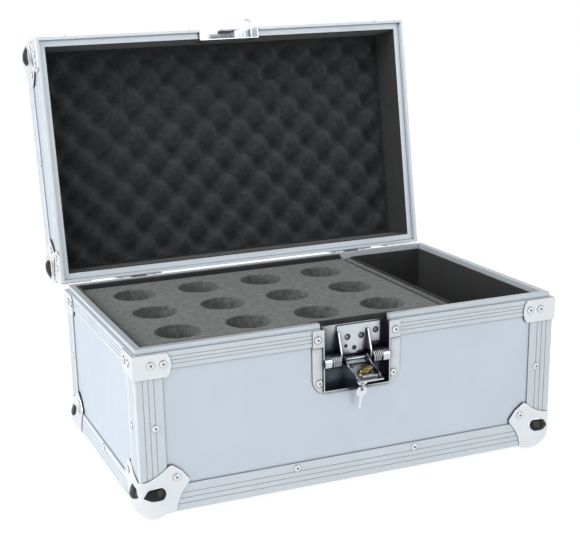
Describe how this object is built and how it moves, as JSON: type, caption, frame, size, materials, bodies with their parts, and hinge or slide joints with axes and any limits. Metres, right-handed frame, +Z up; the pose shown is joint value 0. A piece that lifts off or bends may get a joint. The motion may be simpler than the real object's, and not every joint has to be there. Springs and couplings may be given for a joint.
{
  "type": "microphone case",
  "caption": "Panel-built microphone case with aluminium edging, ball corners, stepped foam wells, cable compartment, stop-hinged lid, keyed hook latch and handle.",
  "frame": {"origin": "on the floor, at the centre of the case's footprint", "axes": "+Z up, +X along the case's width to the right as seen from the latch side, +Y from the latch to the hinges"},
  "size_m": [0.5152, 0.4857, 0.4967],
  "materials": {
    "panel_face": "fine grained foil on board",
    "extrusion": "satin drawn aluminium with grooves",
    "plated_steel": "bright nickel plating",
    "spring_wire": "drawn wire",
    "lock_brass": "turned brass",
    "insert_foam": "open-cell foam, mid grey",
    "lid_foam": "open-cell foam, charcoal",
    "lining": "black felt lining",
    "divider_board": "plywood covered with black felt",
    "board": "birch plywood",
    "lens_black": "polished",
    "grip_plastic": "moulded"
  },
  "bodies": {
    "base": {"base_floor": "board", "base_front_panel": "panel_face", "base_back_panel": "panel_face", "base_left_panel": "panel_face", "base_right_panel": "panel_face", "base_rim_front": "extrusion", "base_rim_back": "extrusion", "base_rim_left": "extrusion", "base_rim_right": "extrusion", "base_upright_angles": "extrusion", "base_bottom_angles": "extrusion", "base_brackets": "plated_steel", "base_ball_corners": "plated_steel", "base_corner_inserts": "lens_black", "base_rivets": "plated_steel", "foam_insert": "insert_foam", "divider": "divider_board", "compartment_lining": "lining", "hinge_base_leaves": "plated_steel", "hinge_pins": "plated_steel", "latch_dish": "plated_steel", "latch_frame": "plated_steel", "latch_pin": "plated_steel", "latch_springs": "spring_wire"},
    "lever": {"latch_lever": "plated_steel"},
    "lock": {"lock_barrel": "lock_brass", "key": "plated_steel"},
    "ring": {"key_ring": "plated_steel"},
    "spare": {"spare_key": "plated_steel"},
    "lid": {"lid_top_panel": "panel_face", "lid_front_panel": "panel_face", "lid_back_panel": "panel_face", "lid_left_panel": "panel_face", "lid_right_panel": "panel_face", "lid_rim_front": "extrusion", "lid_rim_back": "extrusion", "lid_rim_left": "extrusion", "lid_rim_right": "extrusion", "lid_upright_angles": "extrusion", "lid_edge_angles": "extrusion", "lid_brackets": "plated_steel", "lid_ball_corners": "plated_steel", "lid_corner_inserts": "lens_black", "lid_rivets": "plated_steel", "lid_foam": "lid_foam", "lid_lining": "lining", "catch_dish": "plated_steel", "catch_plate": "plated_steel", "catch_eye": "plated_steel", "hinge_lid_leaves": "plated_steel", "handle_brackets": "plated_steel"},
    "handle": {"handle_bail": "plated_steel", "handle_grip": "grip_plastic"}
  },
  "joints": [
    {"name": "lid_hinge", "type": "hinge", "parent": "base", "child": "lid", "pos_m": [0, 0.1581, 0.183], "axis": [1, 0, 0], "range_deg": [0, 99.4]},
    {"name": "latch_lever", "type": "hinge", "parent": "base", "child": "lever", "pos_m": [0, -0.146, 0.148], "axis": [-1, 0, 0], "range_deg": [0, 102.8]},
    {"name": "lock_turn", "type": "hinge", "parent": "lever", "child": "lock", "pos_m": [0, -0.16745, 0.14313], "axis": [0, 0.2215, -0.9751], "range_deg": [0, 90]},
    {"name": "ring_swing", "type": "hinge", "parent": "lock", "child": "ring", "pos_m": [0, -0.16362, 0.12626], "axis": [0, -0.9751, -0.2215], "range_deg": [-35, 35]},
    {"name": "spare_key_swing", "type": "hinge", "parent": "ring", "child": "spare", "pos_m": [0, -0.16158, 0.11728], "axis": [0, -0.9751, -0.2215], "range_deg": [-35, 35]},
    {"name": "handle_swing", "type": "hinge", "parent": "lid", "child": "handle", "pos_m": [0, 0.27646, 0.32366], "axis": [1, 0, 0], "range_deg": [-9.4, 170.6]}
  ]
}
